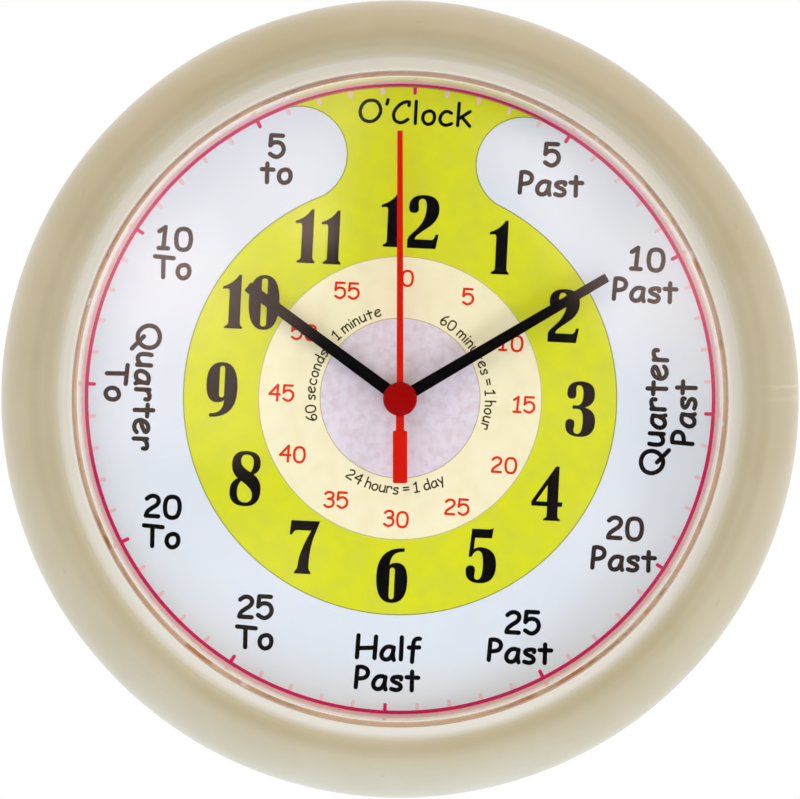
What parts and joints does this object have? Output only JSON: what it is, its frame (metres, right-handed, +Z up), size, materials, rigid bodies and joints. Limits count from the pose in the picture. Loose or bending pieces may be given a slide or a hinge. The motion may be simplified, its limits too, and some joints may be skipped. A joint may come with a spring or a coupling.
{
  "type": "teaching wall clock",
  "caption": "Round wall clock for teaching the time: deep rounded case, clear lens, banded dial, three hands and a quartz movement behind the dial.",
  "frame": {"origin": "on the hands' axis, at the middle of the case's depth", "axes": "+Z up towards 12 o'clock, +X to the right seen from the front, the dial faces -Y and the wall is on +Y"},
  "size_m": [0.3, 0.046, 0.3],
  "materials": {
    "case_plastic": "glossy champagne beige",
    "lens_clear": "clear polished",
    "adhesive": "brown adhesive under the lens edge",
    "dial_paper": "printed satin sheet",
    "plate_plastic": "moulded, fine texture",
    "black_plastic": "moulded, fine spark texture",
    "grey_plastic": "moulded",
    "gear_plastic": "natural acetal",
    "bobbin_plastic": "amber nylon",
    "rubber": "matt",
    "steel": "zinc plated",
    "brass": "turned",
    "magnet": "sintered dark grey",
    "copper_wire": "enamelled winding",
    "board_laminate": "green solder mask",
    "cell_jacket": "plain metallic sleeve",
    "hand_black": "satin black paint",
    "hand_red": "satin orange-red paint",
    "cap_red": "domed red plastic"
  },
  "bodies": {
    "case": {"case_rim": "case_plastic", "lens_seal": "adhesive", "lens": "lens_clear", "dial_print": "dial_paper", "dial_plate": "plate_plastic", "hanger_bracket": "steel", "rubber_gasket": "rubber", "brass_washer": "brass", "hex_nut": "brass", "plate_screw_1": "steel", "plate_screw_2": "steel", "plate_screw_3": "steel", "plate_screw_4": "steel", "plate_screw_5": "steel", "plate_screw_6": "steel", "movement_housing": "black_plastic", "movement_cover": "black_plastic", "train_plate": "grey_plastic", "stator": "steel", "coil_core": "steel", "coil_bobbin": "bobbin_plastic", "coil_winding": "copper_wire", "battery_cell": "cell_jacket", "positive_contact": "steel", "negative_contact": "steel", "circuit_board": "board_laminate", "chip_cover": "black_plastic", "crystal_can": "steel", "board_screw_1": "steel", "board_screw_2": "steel"},
    "rotor": {"rotor_magnet": "magnet", "rotor_pinion": "gear_plastic"},
    "intermediate": {"intermediate_wheel": "gear_plastic"},
    "seconds": {"second_wheel": "gear_plastic", "second_hand": "hand_red", "second_hand_pipe": "brass", "second_hand_cap": "cap_red"},
    "third": {"third_wheel": "gear_plastic"},
    "centre": {"centre_wheel": "gear_plastic"},
    "minutes": {"minute_shaft": "brass", "minute_hand": "hand_black", "minute_nut": "brass"},
    "reduction": {"minute_wheel": "gear_plastic"},
    "hours": {"hour_wheel": "gear_plastic", "hour_hand": "hand_black", "hour_hand_collet": "brass"},
    "knob": {"setting_knob": "grey_plastic"}
  },
  "joints": [
    {"name": "second_spin", "type": "hinge", "parent": "case", "child": "seconds", "pos_m": [0, 0, 0], "axis": [0, 1, 0], "continuous": true},
    {"name": "rotor_spin", "type": "hinge", "parent": "case", "child": "rotor", "pos_m": [-0.01218, 0, 0.00315], "axis": [0, 1, 0], "continuous": true},
    {"name": "intermediate_spin", "type": "hinge", "parent": "case", "child": "intermediate", "pos_m": [-0.00672, 0, 0], "axis": [0, 1, 0], "continuous": true},
    {"name": "third_spin", "type": "hinge", "parent": "case", "child": "third", "pos_m": [-0.00151, 0, 0.00854], "axis": [0, 1, 0], "continuous": true},
    {"name": "centre_spin", "type": "hinge", "parent": "case", "child": "centre", "pos_m": [0, 0, 0], "axis": [0, 1, 0], "continuous": true},
    {"name": "minute_spin", "type": "hinge", "parent": "case", "child": "minutes", "pos_m": [0, 0, 0], "axis": [0, 1, 0], "continuous": true},
    {"name": "reduction_spin", "type": "hinge", "parent": "case", "child": "reduction", "pos_m": [0.008, 0, 0], "axis": [0, 1, 0], "continuous": true},
    {"name": "hour_spin", "type": "hinge", "parent": "case", "child": "hours", "pos_m": [0, 0, 0], "axis": [0, 1, 0], "continuous": true},
    {"name": "knob_spin", "type": "hinge", "parent": "case", "child": "knob", "pos_m": [0.01493, 0, 0.004], "axis": [0, 1, 0], "continuous": true}
  ],
  "couplings": [
    {"joint": "rotor_spin", "follows": "second_spin", "ratio": 30},
    {"joint": "intermediate_spin", "follows": "second_spin", "ratio": -6},
    {"joint": "third_spin", "follows": "second_spin", "ratio": -0.13333},
    {"joint": "centre_spin", "follows": "second_spin", "ratio": 0.016667},
    {"joint": "reduction_spin", "follows": "minute_spin", "ratio": -0.33333},
    {"joint": "hour_spin", "follows": "minute_spin", "ratio": 0.083333},
    {"joint": "knob_spin", "follows": "minute_spin", "ratio": 1}
  ]
}
